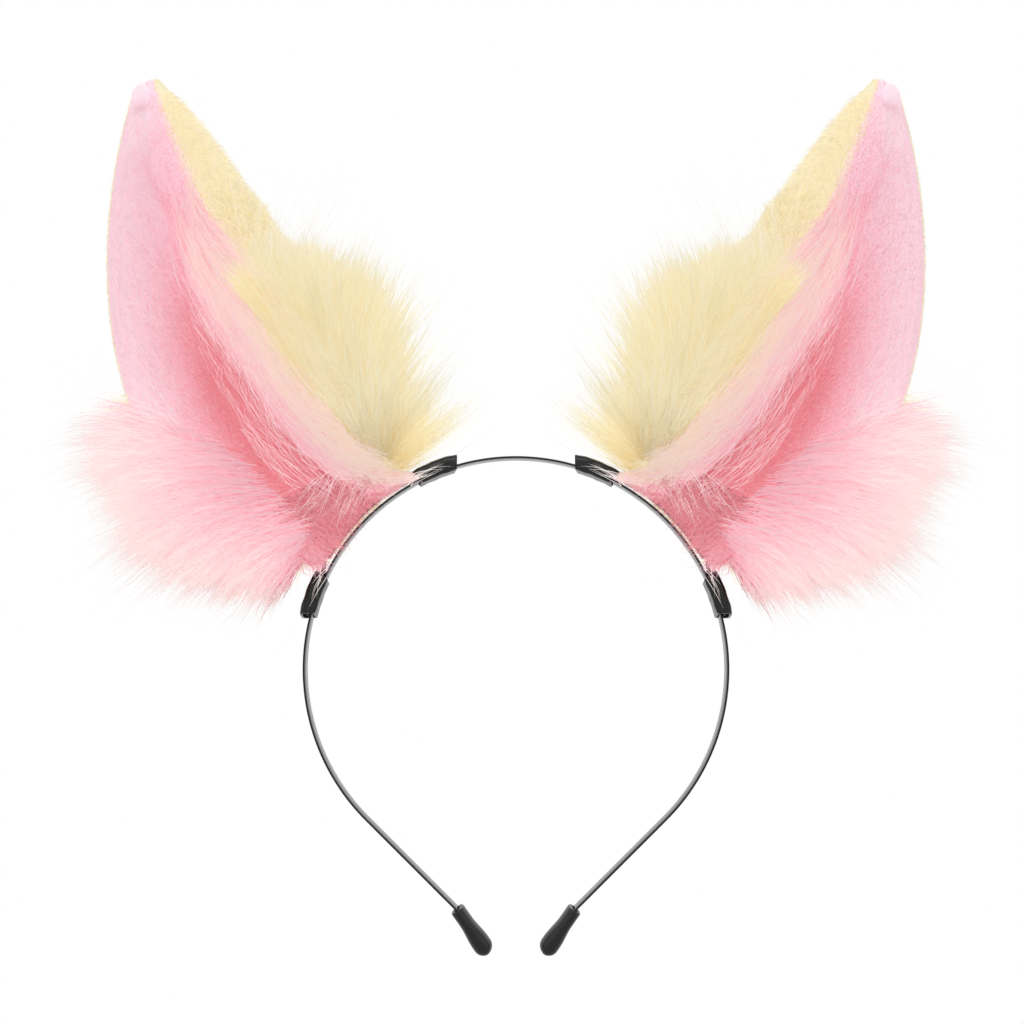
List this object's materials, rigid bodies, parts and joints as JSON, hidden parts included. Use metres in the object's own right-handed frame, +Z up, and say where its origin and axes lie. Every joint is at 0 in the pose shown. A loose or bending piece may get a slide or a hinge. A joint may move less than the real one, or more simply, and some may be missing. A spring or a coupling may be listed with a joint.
{
  "type": "animal ears headband",
  "caption": "Slim spring-steel hair band with two upright fox-like ears in pink and yellow fur on wire frames, held on by shrink tubes.",
  "frame": {"origin": "middle of the band's inner face at the crown, where it sits on the head", "axes": "+Z up out of the head, -Y the front that the ears open to, +X to the viewer's right, across the head"},
  "size_m": [0.2484, 0.04, 0.2594],
  "materials": {
    "band_steel": "black oxide on spring steel, satin, greyer on the inner face",
    "cap_rubber": "matte moulded rubber",
    "shrink_tube": "satin heat-shrink tube",
    "ear_wire_steel": "dark drawn wire",
    "thread": "sewing thread",
    "tape": "woven cotton tape",
    "fibre_fill": "loose polyester fibre",
    "pink_plush": "short clipped pile",
    "yellow_plush": "short clipped pile",
    "yellow_long_fur": "long soft pile",
    "pale_pink_long_fur": "long soft pile",
    "pink_long_fur": "long soft pile"
  },
  "bodies": {
    "band": {"steel_band": "band_steel", "left_tip_cap": "cap_rubber", "right_tip_cap": "cap_rubber"},
    "left_slider": {"left_upper_tube": "shrink_tube", "left_lower_tube": "shrink_tube"},
    "right_slider": {"right_upper_tube": "shrink_tube", "right_lower_tube": "shrink_tube"},
    "left_ear": {"left_ear_wire": "ear_wire_steel", "left_seam_thread": "thread", "left_foot_tape": "tape", "left_stuffing": "fibre_fill", "left_lining_panel": "pink_plush", "left_back_panel": "yellow_plush", "left_back_tuft": "yellow_long_fur", "left_rim_tuft": "pale_pink_long_fur", "left_outer_tuft": "pink_long_fur"},
    "right_ear": {"right_ear_wire": "ear_wire_steel", "right_seam_thread": "thread", "right_foot_tape": "tape", "right_stuffing": "fibre_fill", "right_lining_panel": "pink_plush", "right_back_panel": "yellow_plush", "right_back_tuft": "yellow_long_fur", "right_rim_tuft": "pale_pink_long_fur", "right_outer_tuft": "pink_long_fur"}
  },
  "joints": [
    {"name": "left_slide", "type": "hinge", "parent": "band", "child": "left_slider", "pos_m": [0, 0, -0.062], "axis": [0, 1, 0], "range_deg": [-10, 10]},
    {"name": "left_tilt", "type": "hinge", "parent": "left_slider", "child": "left_ear", "pos_m": [-0.04183, 0, -0.02161], "axis": [0.6947, 0, 0.7193], "range_deg": [-15, 15]},
    {"name": "right_slide", "type": "hinge", "parent": "band", "child": "right_slider", "pos_m": [0, 0, -0.062], "axis": [0, -1, 0], "range_deg": [-10, 10]},
    {"name": "right_tilt", "type": "hinge", "parent": "right_slider", "child": "right_ear", "pos_m": [0.04183, 0, -0.02161], "axis": [0.6947, 0, -0.7193], "range_deg": [-15, 15]}
  ]
}
